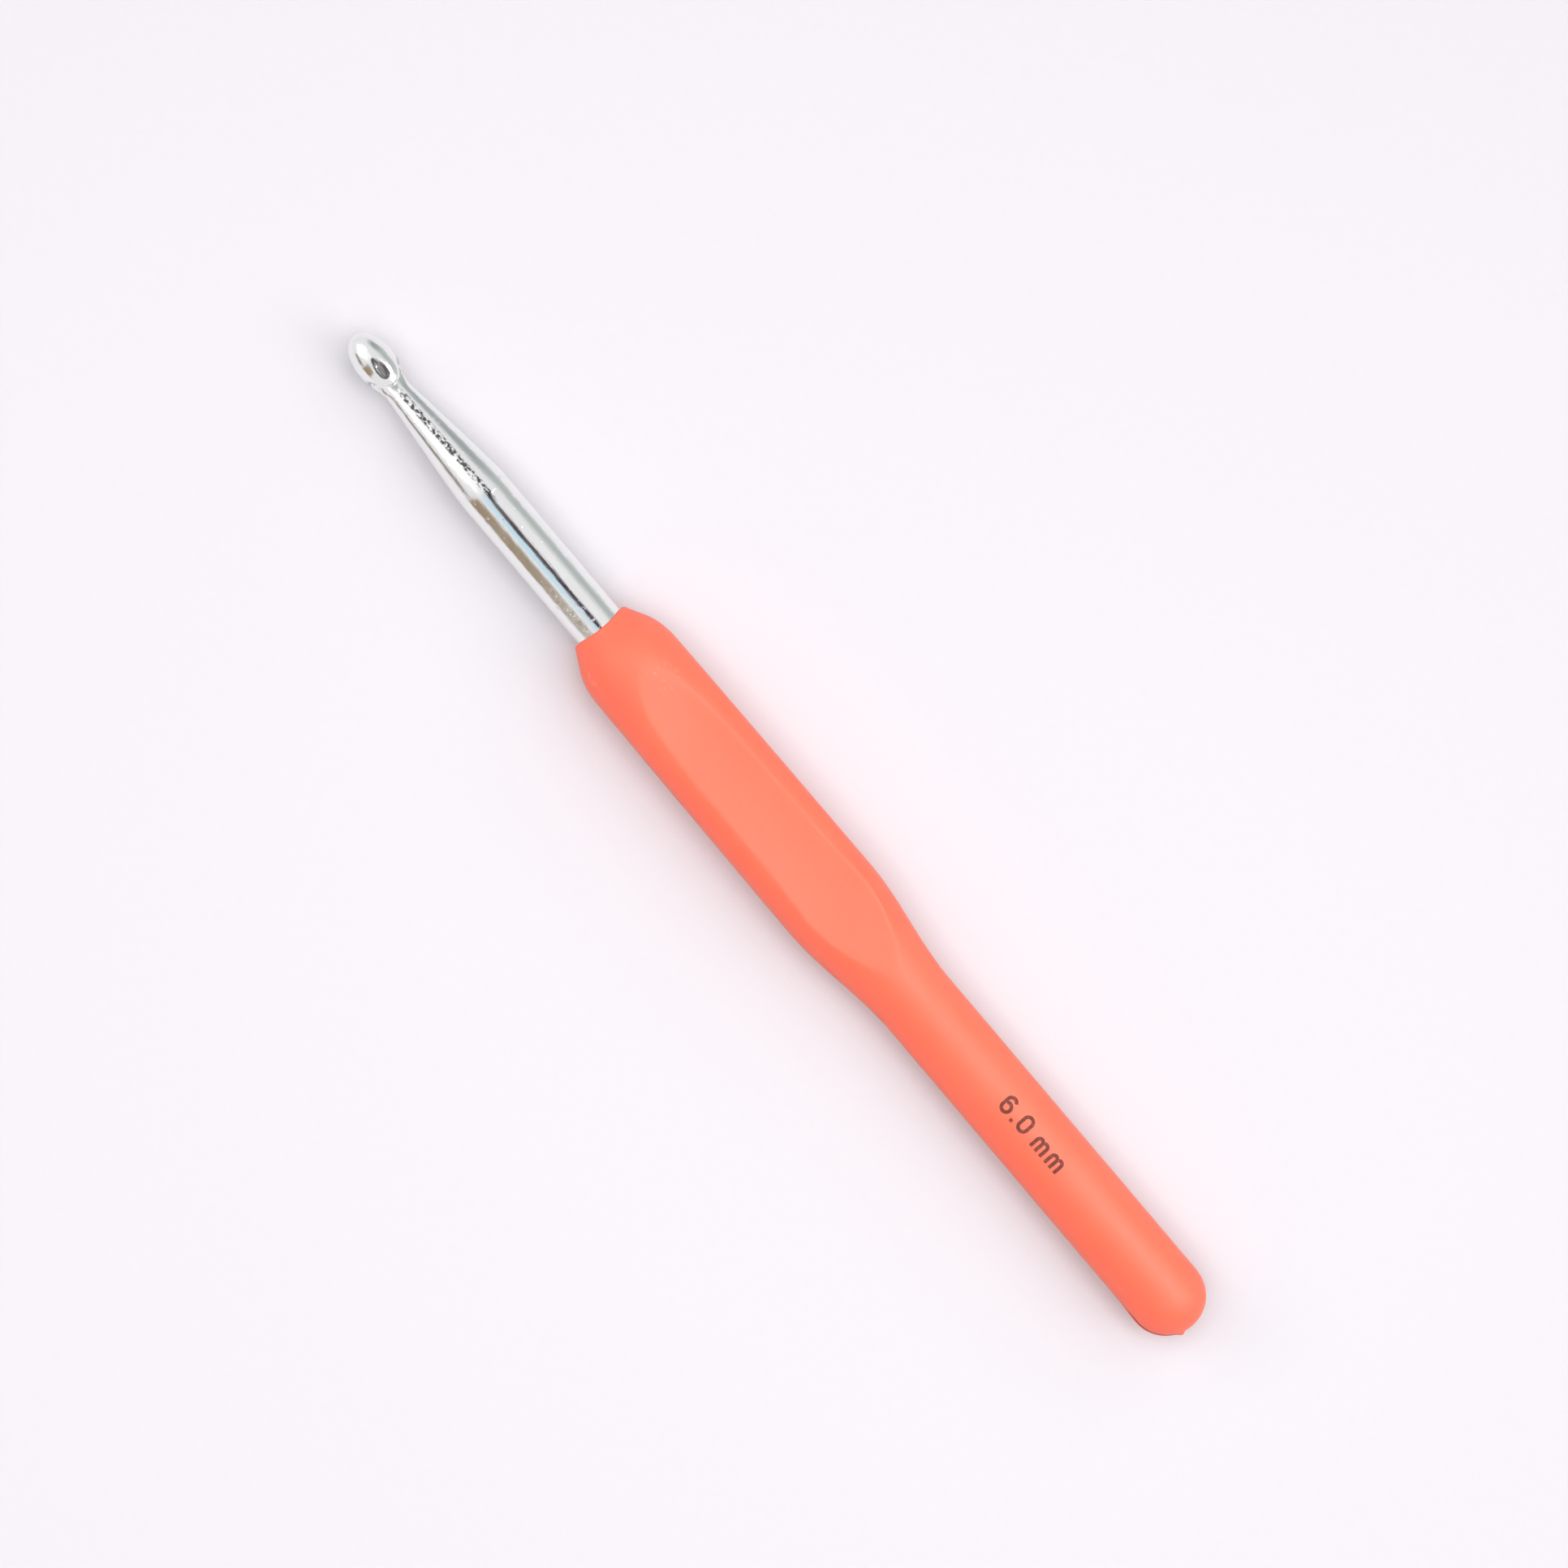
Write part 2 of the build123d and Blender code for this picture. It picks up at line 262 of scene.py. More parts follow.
def metal_field(p):
    """Below 0 inside the exposed metal, with its edges and corners rounded."""
    head = soft_max(egg_field(p), facet_field(p), FACET_EDGE)
    head = soft_max(head, -throat_field(p), THROAT_EDGE)
    return soft_min(head, neck_field(p), NECK_FILLET)


def settle(points):
    """Move points onto the metal's surface, by Newton steps along the field's slope."""
    for _ in range(SETTLE_STEPS):
        value = metal_field(points)
        rises = [metal_field(points + SETTLE_NUDGE * axis) - value for axis in np.eye(3)]
        slope = np.stack(rises, axis=1) / SETTLE_NUDGE
        steepness = np.maximum((slope ** 2).sum(1), LEAST_SLOPE)
        points = points - slope * (value / steepness)[:, None]
    return points


def ring_angles(count):
    """Even angles round a ring, from the top towards +Y."""
    return np.arange(count) * 2 * math.pi / count


def upright_ring(x, half_width, half_height, centre):
    """A ring across the shaft, starting at its top."""
    a = ring_angles(SHAFT_COLUMNS)
    return np.stack([np.full_like(a, x), half_width * np.sin(a), centre + half_height * np.cos(a)], 1)


def cut_from_root(turn):
    """Where a ray from the throat's root enters and leaves the metal, or None if it misses.

    At a turn of 0 the ray points straight down, and at 90 towards the tip.
    """
    angle = math.radians(turn)
    direction = np.array([-math.sin(angle), 0, -math.cos(angle)])
    distances = np.linspace(0, LIP_REACH, RAY_SAMPLES)
    inside = metal_field(THROAT_ROOT + distances[:, None] * direction) < 0
    if not inside.any():
        return None
    return direction, distances[inside][0], distances[inside][-1]


def last_turn():
    """The last turn at which a ray from the throat's root still meets the end of the lip."""
    turn = LIP_TURN
    while cut_from_root(turn + TURN_STEP):
        turn += TURN_STEP
    return turn


def turning_ring(turn):
    """A ring in a plane that swings round the throat, from straight down to the end of the lip."""
    direction, inner, outer = cut_from_root(turn)
    middle = THROAT_ROOT + direction * (inner + outer) / 2
    depth = max(1 - (middle[2] + HEAD_DROP) ** 2 / HEAD_HALF_HEIGHT ** 2, LEAST_DEPTH)
    share = min(1.0, THIN_RING_SHARE + (outer - inner) / FULL_RING_THICKNESS)
    half_width = HEAD_HALF_WIDTH * math.sqrt(depth) * share
    a = ring_angles(SHAFT_COLUMNS)
    along = -np.cos(a) * (outer - inner) / 2
    return middle + along[:, None] * direction + np.outer(np.sin(a) * half_width, (0, 1, 0))


def exposed_rings():
    """Rings from the shank's hidden end over the taper and round the throat to the lip."""
    rings = []
    stations = np.concatenate([
        np.linspace(LAND_END, SHANK_START, SHANK_RINGS, endpoint=False),
        np.linspace(SHANK_START, THROAT_X, TAPER_RINGS, endpoint=False),
    ])
    for x in stations:
        half_width, half_height, centre = taper_size(np.array(x))
        rings.append(upright_ring(x, half_width, half_height, centre))
    for turn in np.linspace(0, last_turn(), TURN_RINGS):
        rings.append(turning_ring(turn))
    settled = settle(np.concatenate(rings))
    return list(settled.reshape(len(rings), SHAFT_COLUMNS, 3))


def tang_profile():
    """Radius steps of the hidden tang as (x, radius), from its end to the shank's shoulder."""
    steps = [(TANG_END, TANG_RADIUS - TANG_CHAMFER), (TANG_END - TANG_CHAMFER, TANG_RADIUS)]
    steps += [(TANG_FLAT_START + EDGE, TANG_RADIUS), (TANG_FLAT_START, TANG_RADIUS)]
    for index in reversed(range(TANG_GROOVES)):
        start = index * TANG_GROOVE_PITCH
        end = start + TANG_GROOVE_WIDTH
        steps += [(end, TANG_RADIUS), (end, TANG_RADIUS - TANG_GROOVE_DEPTH)]
        steps += [(start, TANG_RADIUS - TANG_GROOVE_DEPTH), (start, TANG_RADIUS)]
    steps += [(LAND_END, TANG_RADIUS), (LAND_END, SHANK_RADIUS - EDGE)]
    return steps


def tang_rings():
    """Rings of the hidden tang, with the two flats that stop it turning in its core."""
    rings = []
    for x, radius in tang_profile():
        ring = upright_ring(x, radius, radius, 0)
        if x > TANG_FLAT_START:
            ring[:, 2] = np.clip(ring[:, 2], -TANG_FLAT, TANG_FLAT)
        rings.append(ring)
    return rings


def make_shaft():
    """The whole metal piece as one closed skin."""
    rings = tang_rings() + exposed_rings()
    lip = rings[-1].mean(0) + np.array([LIP_POLE_OFFSET, 0, 0])
    lip = settle(lip[None, :])[0]
    points, faces = skin_rings(rings, np.array([TANG_END, 0, 0]), lip)
    shaft = mesh_object("hook_metal", points, faces)
    face_outwards(shaft)
    return shaft


# ---------------------------------------------------------------- soft grip

GRIP_STEP = 3.0
PARTING_OFFSETS = (-1.6, -0.8, 0.0, 0.8, 1.6)
PARTING_RIDGE = (0.0, 0.35, 1.0, 0.35, 0.0)
PARTING_HEIGHT = 0.035

LIP_RADIUS = 3.36
LIP_ROUND = 0.4
CONE_END = MOUTH + 2.4
CONE_START_RADIUS = 3.5
CONE_RADIUS = 4.8
SHOULDER = MOUTH + 7.1
SHOULDER_RADIUS = 5.76
SWELL = 10.2
WAIST = 25.4
TAIL_RADIUS = 4.4
BUTT_CENTRE = BUTT - TAIL_RADIUS
STEP_START = BUTT - 8.0
STEP_FULL = BUTT - 4.5
STEP_WIDTH = 0.16
NUB_HEIGHT = 0.32
NUB_RADIUS = 0.4
NUB_Y = -1.5
MOUTH_HOLLOW = 0.45
MOUTH_HOLLOW_FADE = 4.0

SQUARENESS = 0.85
CROWN = 0.82
SQUARE_START = -24.5
SQUARE_FULL = -13.0
SQUARE_HOLD = 3.0
SQUARE_END = 19.0

THUMB_FLOOR = 4.4
THUMB_FRONT = -22.8
THUMB_FLOOR_START = -11.0
THUMB_FLOOR_END = 8.0
THUMB_REAR = 20.8
THUMB_REAR_HEIGHT = 4.78
THUMB_DISH = 0.3
THUMB_HALF_WIDTH = 3.7
THUMB_DISH_LIMIT = 1.2
THUMB_EDGE = 0.09
FLAT_EDGE = 0.5

CORE_STEP = 14.0
CORE_TAPER_END = 22.0
CORE_TAIL_DROP = 0.3
BORE_POLE_GAP = 0.01
BORE_POLE_RADIUS = 0.5
MOUTH_BORE_DEPTHS = (1.6, 0.9)
MOUTH_INNER_ANGLES = (0, 30, 60, 90)
MOUTH_OUTER_ANGLES = (15, 30, 45, 60, 75, 90)
CONE_RING_STEP = 0.25
SWELL_RING_STEP = 0.4
TAIL_RING_STEP = 0.8
BUTT_RING_TURN = 2


def grip_radius(x):
    """Half width of the grip's outside at x, behind the rounded edge of its mouth."""
    cone = CONE_START_RADIUS + (CONE_RADIUS - CONE_START_RADIUS) * (x - MOUTH) / (CONE_END - MOUTH)
    slope = (CONE_RADIUS - CONE_START_RADIUS) / (CONE_END - MOUTH)
    third = (SHOULDER - CONE_END) / 3
    shoulder = cubic(
        np.clip((x - CONE_END) / (SHOULDER - CONE_END), 0, 1),
        (CONE_RADIUS, CONE_RADIUS + slope * third, SHOULDER_RADIUS, SHOULDER_RADIUS),
    )
    swell = SHOULDER_RADIUS + (SWELL_RADIUS - SHOULDER_RADIUS) * (x - SHOULDER) / (SWELL - SHOULDER)
    waist = cubic(
        np.clip((x - SWELL) / (WAIST - SWELL), 0, 1),
        (SWELL_RADIUS, SWELL_RADIUS, TAIL_RADIUS, TAIL_RADIUS),
    )
    butt = math.sqrt(max(TAIL_RADIUS ** 2 - max(x - BUTT_CENTRE, 0) ** 2, 0))
    if x < CONE_END:
        return cone
    if x < SHOULDER:
        return float(shoulder)
    if x < SWELL:
        return swell
    if x < WAIST:
        return float(waist)
    return butt


def thumb_floor(x):
    """Height of the thumb rest's floor at x: level, and rising as a parabola at both ends."""
    if x < THUMB_FLOOR_START:
        share = (THUMB_FLOOR_START - x) / (THUMB_FLOOR_START - THUMB_FRONT)
        return THUMB_FLOOR + (SHOULDER_RADIUS - THUMB_FLOOR) * share ** 2
    share = max(x - THUMB_FLOOR_END, 0) / (THUMB_REAR - THUMB_FLOOR_END)
    return THUMB_FLOOR + (THUMB_REAR_HEIGHT - THUMB_FLOOR) * share ** 2


def squareness(x):
    """0 where the section is round, and 1 where the finger grip is at its squarest."""
    return float(ease(x, SQUARE_START, SQUARE_FULL) * (1 - ease(x, SQUARE_HOLD, SQUARE_END)))


def grip_columns():
    """Angles round the grip, with extra ones for the parting line on each side, and its height."""
    angles, ridge = [], []
    for side in (0, 180):
        angles += [side + offset for offset in PARTING_OFFSETS]
        ridge += PARTING_RIDGE
        plain = np.arange(side + GRIP_STEP, side + 180 - GRIP_STEP / 2, GRIP_STEP)
        angles += list(plain)
        ridge += [0.0] * len(plain)
    return np.radians(angles), np.array(ridge)


def grip_ring(x, radius):
    """One ring of the grip's outside: thumb rest, finger flat, parting line, and the butt's step and nub."""
    angles, ridge = grip_columns()
    square = squareness(x)
    power = 2 / (2 + SQUARENESS * square)
    across, up = np.cos(angles), np.sin(angles)
    top = radius * (1 + (CROWN - 1) * square)
    radius = radius + PARTING_HEIGHT * ridge
    y = radius * np.sign(across) * np.abs(across) ** power
    z = np.where(up > 0, top, radius) * np.sign(up) * np.abs(up) ** power
    place = np.clip(y / THUMB_HALF_WIDTH, -THUMB_DISH_LIMIT, THUMB_DISH_LIMIT)
    dish = THUMB_DISH * square * (place ** 2 - 1)
    z = soft_min(z, thumb_floor(x) + dish, THUMB_EDGE)
    z = soft_max(z, -AXIS_HEIGHT, FLAT_EDGE)
    y = y - STEP_WIDTH * ease(x, STEP_START, STEP_FULL) * (angles > math.pi)
    nub = NUB_HEIGHT * np.exp(-((y - NUB_Y) ** 2 + z ** 2) / NUB_RADIUS ** 2) * (x > BUTT_CENTRE)
    hollow = MOUTH_HOLLOW * (1 - ease(x, MOUTH, MOUTH + MOUTH_HOLLOW_FADE)) * np.sin(angles) ** 2
    return np.stack([x + hollow + nub, y, z], 1)


def plain_ring(x, radius):
    """A round ring with the grip's columns, for its bore and its hidden inside."""
    angles, _ = grip_columns()
    return np.stack([np.full_like(angles, x), radius * np.cos(angles), radius * np.sin(angles)], 1)


def bore_rings():
    """The inside of the grip: round the core, then round the shank, out to the mouth."""
    rings = [plain_ring(CORE_END - BORE_POLE_GAP, BORE_POLE_RADIUS)]
    for x, radius in (
        (CORE_END, CORE_RADIUS - CORE_TAIL_DROP),
        (CORE_TAPER_END, CORE_RADIUS - CORE_TAIL_DROP),
        (CORE_STEP, CORE_RADIUS),
        (LAND_END, CORE_RADIUS),
        (LAND_END, SHANK_RADIUS),
    ):
        rings.append(plain_ring(x, radius))
    for depth in MOUTH_BORE_DEPTHS:
        rings.append(plain_ring(MOUTH + depth, SHANK_RADIUS))
    return rings


def mouth_rings():
    """The rounded edge of the mouth, from the bore out to the cone."""
    rings = []
    middle = (SHANK_RADIUS + LIP_RADIUS) / 2
    inner = middle - SHANK_RADIUS
    for angle in np.radians(MOUTH_INNER_ANGLES):
        x = MOUTH + LIP_ROUND * (1 - math.sin(angle))
        rings.append(grip_ring(x, middle - inner * math.cos(angle)))
    outer_x = MOUTH + LIP_ROUND
    outer = grip_radius(outer_x)
    for angle in np.radians(MOUTH_OUTER_ANGLES):
        x = outer_x - LIP_ROUND * math.cos(angle)
        rings.append(grip_ring(x, middle + (outer - middle) * math.sin(angle)))
    return rings


def make_grip():
    """The soft moulding as one closed skin: bore, mouth, outside and butt."""
    stations = np.concatenate([
        np.arange(MOUTH + LIP_ROUND + CONE_RING_STEP, SHOULDER, CONE_RING_STEP),
        np.arange(SHOULDER, WAIST, SWELL_RING_STEP),
        np.arange(WAIST, BUTT_CENTRE, TAIL_RING_STEP),
    ])
    rings = bore_rings() + mouth_rings()
    rings += [grip_ring(x, grip_radius(x)) for x in stations]
    for angle in np.radians(np.arange(0, 90, BUTT_RING_TURN)):
        x = BUTT_CENTRE + TAIL_RADIUS * math.sin(angle)
        rings.append(grip_ring(x, TAIL_RADIUS * math.cos(angle)))
    points, faces = skin_rings(rings, np.array([CORE_END, 0, 0]), np.array([BUTT, 0, 0]))
    grip = mesh_object("grip_skin", points, faces)
    face_outwards(grip)
    return grip


# ---------------------------------------------------------------- size mark

MARK_STROKE = 0.42
GLYPH_WIDTH = 1.55
GLYPH_GAP = 0.45
WORD_GAP = 1.1
LOWER_HEIGHT = 1.7
ARCH_WIDTH = 1.2
MARK_PROUD = 0.012
MARK_SUNK = 0.05
STROKE_STEP = 0.14
SIX_TOP_ANGLE = 25
JOIN_ANGLE = 128
SAME_POINT = 1e-6


def arc(centre, radius, start, end):
    """Points on an arc, angles in degrees."""
    count = max(2, int(abs(end - start) * math.pi / 180 * radius / STROKE_STEP) + 1)
    angles = np.radians(np.linspace(start, end, count + 1))
    x, y = centre
    return [np.array([x + radius * math.cos(a), y + radius * math.sin(a)]) for a in angles]


def run(start, end):
    """Points along a straight run."""
    start, end = np.array(start, float), np.array(end, float)
    count = max(1, int(np.linalg.norm(end - start) / STROKE_STEP))
    return [start + (end - start) * share for share in np.linspace(0, 1, count + 1)]


def joined(*paths):
    """Several paths end to end, without the doubled points."""
    points = [paths[0][0]]
    for path in paths:
        points += [p for p in path if np.linalg.norm(p - points[-1]) > SAME_POINT]
    return points


def zero_strokes():
    """An upright oval with straight sides, as one closed stroke."""
    bend = (GLYPH_WIDTH - MARK_STROKE) / 2
    side = (MARK_HEIGHT - GLYPH_WIDTH) / 2
    path = joined(
        arc((0, side), bend, 0, 180),
        run((-bend, side), (-bend, -side)),
        arc((0, -side), bend, 180, 360),
        run((bend, -side), (bend, side)),
    )
    return [path]


def six_strokes():
    """One stroke: in from the top, down the left side, round the bowl and back to the side."""
    bend = (GLYPH_WIDTH - MARK_STROKE) / 2
    side = (MARK_HEIGHT - GLYPH_WIDTH) / 2
    return [joined(
        arc((0, side), bend, SIX_TOP_ANGLE, 180),
        run((-bend, side), (-bend, -side)),
        arc((0, -side), bend, 180, 360),
        arc((0, -side), bend, 0, JOIN_ANGLE),
    )]


def point_strokes():
    """The decimal point, a square on the base line."""
    base = -MARK_HEIGHT / 2
    return [[np.array([0, base]), np.array([0, base + MARK_STROKE])]]


def letter_m_strokes():
    """Two arches side by side, standing on the base line."""
    bend = (ARCH_WIDTH - MARK_STROKE) / 2
    base = -MARK_HEIGHT / 2
    spring = base + LOWER_HEIGHT - ARCH_WIDTH / 2
    first = joined(
        run((-2 * bend, base), (-2 * bend, spring)),
        arc((-bend, spring), bend, 180, 0),
        run((0, spring), (0, base)),
    )
    second = joined(
        arc((bend, spring), bend, JOIN_ANGLE, 0),
        run((2 * bend, spring), (2 * bend, base)),
    )
    return [first, second]


def stroke_edges(path):
    """Left and right edges of a stroke along a path, which is closed if its ends meet."""
    path = np.array(path)
    closed = np.linalg.norm(path[0] - path[-1]) < SAME_POINT
    if closed:
        path = path[:-1]
        forward = np.roll(path, -1, 0) - np.roll(path, 1, 0)
    else:
        forward = np.gradient(path, axis=0)
    forward /= np.linalg.norm(forward, axis=1)[:, None]
    left = np.stack([-forward[:, 1], forward[:, 0]], 1)
    return path + left * MARK_STROKE / 2, path - left * MARK_STROKE / 2, closed


def on_tail(flat, height):
    """Wrap a flat point of the mark round the top of the tail."""
    angle = flat[1] / TAIL_RADIUS
    radius = TAIL_RADIUS + height
    return np.array([flat[0], radius * math.sin(angle), radius * math.cos(angle)])


def stroke_solid(path, shift):
    """Points and faces of one thin stroke that lies on the tail."""
    left, right, closed = stroke_edges(path)
    points = []
    for a, b in zip(left, right):
        a, b = a + shift, b + shift
        points += [on_tail(a, MARK_PROUD), on_tail(b, MARK_PROUD)]
        points += [on_tail(b, -MARK_SUNK), on_tail(a, -MARK_SUNK)]
    count = len(left)
    faces = []
    for row in range(count if closed else count - 1):
        near, far = 4 * row, 4 * ((row + 1) % count)
        for corner in range(4):
            following = (corner + 1) % 4
            faces.append((near + corner, near + following, far + following, far + corner))
    if not closed:
        end = 4 * (count - 1)
        faces += [(0, 3, 2, 1), (end, end + 1, end + 2, end + 3)]
    return points, faces


def make_mark():
    """The printed size mark, as one object of thin strokes."""
    arches = 2 * ARCH_WIDTH - MARK_STROKE
    glyphs = [
        (six_strokes(), GLYPH_WIDTH, GLYPH_GAP),
        (point_strokes(), MARK_STROKE, GLYPH_GAP),
        (zero_strokes(), GLYPH_WIDTH, WORD_GAP),
        (letter_m_strokes(), arches, GLYPH_GAP),
        (letter_m_strokes(), arches, 0),
    ]
    left = MARK_CENTRE - sum(width + gap for _, width, gap in glyphs) / 2
    points, faces = [], []
    for strokes, width, gap in glyphs:
        for path in strokes:
            new_points, new_faces = stroke_solid(path, np.array([left + width / 2, 0]))
            base = len(points)
            points += new_points
            faces += [tuple(base + index for index in face) for face in new_faces]
        left += width + gap
    mark = mesh_object("size_print", points, faces)
    mark.data.shade_flat()
    face_outwards(mark)
    return mark


# ---------------------------------------------------------------- materials

# Masks: the top of the taper, where a dark reflection is painted, the crease at the butt, where shade is
# painted, and the scuffs as (place, reach)
TAPER_TOP_HALF_WIDTH = 0.45
TAPER_TOP_FULL_SHARE = 0.6
TAPER_TOP_FADE = 1.5
TAPER_TOP_FRONT_FADE = 0.5
TAPER_TOP_RISE = 0.2
CREASE_BOTTOM = (-0.06, -0.01)
CREASE_TOP = (0.2, 0.05)
CREASE_SIDE = 1.4
SCUFFS = (((-20.8, 1.5, 5.0), 2.4), ((-25.5, -4.0, 2.5), 2.0))
SCUFF_FULL_SHARE = 0.6
SCUFF_STRENGTH = 0.16

# Colours, darker and lighter where there are two
METAL_COLOUR = (0.87, 0.88, 0.865)
# Painted dark reflection, in speckles along the top of the taper
RIDGE_REFLECTION_COLOUR = (0.1, 0.105, 0.11)
CORAL_COLOURS = (1.0, 0.148, 0.076), (1.0, 0.158, 0.084)
SCUFF_COLOUR = (1.0, 0.5, 0.42)
# Painted shade in the crease at the butt
CREASE_SHADE_COLOUR = (0.42, 0.05, 0.03)
INK_COLOURS = (0.13, 0.022, 0.013), (0.3, 0.06, 0.035)
CORE_COLOURS = (0.7, 0.66, 0.6), (0.78, 0.74, 0.69)
FLOOR_COLOURS = (0.62, 0.602, 0.631), (0.625, 0.607, 0.636)

# The part of a noise's range that it mostly keeps to, and the colour sockets of a Mix node
NOISE_RANGE = (0.3, 0.7)
MIX_FIRST = 6
MIX_SECOND = 7
MIX_RESULT = 2


class Nodes:
    """A short way to write a material's node tree."""

    def __init__(self, name):
        self.material = bpy.data.materials.new(name)
        self.material.use_nodes = True
        self.tree = self.material.node_tree
        self.shader = self.tree.nodes["Principled BSDF"]

    def add(self, kind, links=(), **values):
        """A node with these properties or input values, and (input, source socket) links."""
        node = self.tree.nodes.new(kind)
        for key, value in values.items():
            if key in node.bl_rna.properties:
                setattr(node, key, value)
            else:
                node.inputs[key.replace("_", " ")].default_value = value
        for place, source in links:
            self.tree.links.new(source, node.inputs[place])
        return node

    def set(self, **values):
        """Constants on the shader's own sockets."""
        for key, value in values.items():
            self.shader.inputs[key.replace("_", " ")].default_value = value

    def link(self, place, source):
        """Feed one of the shader's sockets."""
        self.tree.links.new(source, self.shader.inputs[place])

    def position(self):
        """Object coordinates."""
        return self.add("ShaderNodeTexCoord").outputs["Object"]

    def axes(self):
        """Object coordinates, split into X, Y and Z."""
        return self.add("ShaderNodeSeparateXYZ", [("Vector", self.position())]).outputs

    def noise(self, scale, detail, stretch=(1, 1, 1)):
        """Noise in object space, denser along the axes that are stretched more."""
        mapping = self.add("ShaderNodeMapping", [("Vector", self.position())], Scale=stretch)
        links = [("Vector", mapping.outputs["Vector"])]
        return self.add("ShaderNodeTexNoise", links, Scale=scale, Detail=detail).outputs["Fac"]

    def between(self, source, low, high, out_low=0.0, out_high=1.0):
        """Map a value's range to another, clamped."""
        made = self.add("ShaderNodeMapRange", [("Value", source)])
        made.inputs["From Min"].default_value = low
        made.inputs["From Max"].default_value = high
        made.inputs["To Min"].default_value = out_low
        made.inputs["To Max"].default_value = out_high
        return made.outputs["Result"]

    def blend(self, factor, first, second):
        """Mix two colours, given as values."""
        made = self.add("ShaderNodeMix", [(0, factor)], data_type="RGBA")
        made.inputs[MIX_FIRST].default_value = (*first, 1)
        made.inputs[MIX_SECOND].default_value = (*second, 1)
        return made.outputs[MIX_RESULT]

    def mottle(self, cloud, colours):
        """A noise's spread from one colour to another."""
        return self.blend(self.between(cloud, *NOISE_RANGE), *colours)

    def cover(self, factor, under, colour):
        """Lay a colour over another node's colour, where the factor is 1."""
        made = self.add("ShaderNodeMix", [(0, factor), (MIX_FIRST, under)], data_type="RGBA")
        made.inputs[MIX_SECOND].default_value = (*colour, 1)
        return made.outputs[MIX_RESULT]

    def product(self, first, *others):
        """Several values multiplied together."""
        for other in others:
            made = self.add("ShaderNodeMath", [(0, first), (1, other)], operation="MULTIPLY")
            first = made.outputs[0]
        return first

    def bump(self, height, distance, strength, under=None):
        """A bump of a depth in metres, on top of another if one is given."""
        links = [("Height", height)] + ([("Normal", under)] if under else [])
        made = self.add("ShaderNodeBump", links, Distance=distance, Strength=strength)
        return made.outputs["Normal"]


def taper_top_mask(m):
    """1 along the top of the taper, where a dark reflection is painted in speckles and the metal is
    roughened, and 0 elsewhere.
    """
    place = m.axes()
    side = m.add("ShaderNodeMath", [(0, place["Y"])], operation="ABSOLUTE").outputs[0]
    head_end = TIP + HEAD_LENGTH
    near = m.between(side, TAPER_TOP_HALF_WIDTH * MM, TAPER_TOP_FULL_SHARE * TAPER_TOP_HALF_WIDTH * MM)
    front = m.between(place["X"], (SHANK_START + TAPER_TOP_FADE) * MM, SHANK_START * MM)
    behind_head = m.between(place["X"], (head_end - TAPER_TOP_FRONT_FADE) * MM, head_end * MM)
    high = m.between(place["Z"], AXIS_HEIGHT * MM, (AXIS_HEIGHT + TAPER_TOP_RISE) * MM)
    return m.product(near, front, behind_head, high)


def metal_material():
    """Polished aluminium: drawing lines along the shank, a painted dark reflection in speckles along the
    roughened top of the taper, and a few dings.
    """
    m = Nodes("polished_aluminium")
    m.set(Metallic=1.0)
    lines = m.noise(scale=330, detail=3.0, stretch=(1, 14, 14))
    dimples = m.noise(scale=1700, detail=2.0, stretch=(0.6, 1, 1))
    waves = m.noise(scale=160, detail=2.0, stretch=(1, 3.5, 3.5))
    pits = m.noise(scale=1500, detail=1.0)
    grit = m.noise(scale=3400, detail=2.0, stretch=(0.6, 1, 1))
    taper_top = taper_top_mask(m)
    # Painted dark reflection: dark speckles along the top of the taper
    painted_reflection = m.product(taper_top, m.between(grit, 0.42, 0.56))
    m.link("Base Color", m.blend(painted_reflection, METAL_COLOUR, RIDGE_REFLECTION_COLOUR))
    m.link("Roughness", m.between(waves, *NOISE_RANGE, out_low=0.11, out_high=0.17))
    normal = m.bump(waves, distance=0.00003, strength=0.6)
    normal = m.bump(dimples, distance=0.00002, strength=0.7, under=normal)
    normal = m.bump(lines, distance=0.000014, strength=0.7, under=normal)
    normal = m.bump(m.product(grit, taper_top), distance=0.00005, strength=0.6, under=normal)
    normal = m.bump(m.between(pits, 0.68, 0.75), distance=0.00003, strength=0.35, under=normal)
    m.link("Normal", normal)
    return m.material


def crease_shade_mask(m):
    """1 in the crease where the mould halves are out of line, at one side of the butt, where shade is
    painted into the colour.
    """
    place = m.axes()
    low = m.between(place["Z"], *[(AXIS_HEIGHT + rise) * MM for rise in CREASE_BOTTOM])
    high = m.between(place["Z"], *[(AXIS_HEIGHT + rise) * MM for rise in CREASE_TOP])
    side = m.between(place["Y"], NUB_Y * MM, CREASE_SIDE * NUB_Y * MM)
    along = m.between(place["X"], STEP_START * MM, STEP_FULL * MM)
    return m.product(low, high, side, along)


def scuff_mask(m):
    """A few faint pale scratches, in front of the thumb rest and beside the mouth."""
    coordinates = m.position()
    streaks = m.noise(scale=1000, detail=2.0, stretch=(1.4, 2.6, 0.2))
    streaks = m.between(streaks, 0.58, 0.7, out_high=SCUFF_STRENGTH)
    masks = []
    for place, reach in SCUFFS:
        centre = Vector((place[0], place[1], place[2] + AXIS_HEIGHT)) * MM
        away = m.add("ShaderNodeVectorMath", [(0, coordinates)], operation="DISTANCE")
        away.inputs[1].default_value = centre
        masks.append(m.between(away.outputs["Value"], reach * MM, SCUFF_FULL_SHARE * reach * MM))
    either = m.add("ShaderNodeMath", [(0, masks[0]), (1, masks[1])], operation="MAXIMUM")
    return m.product(streaks, either.outputs[0])


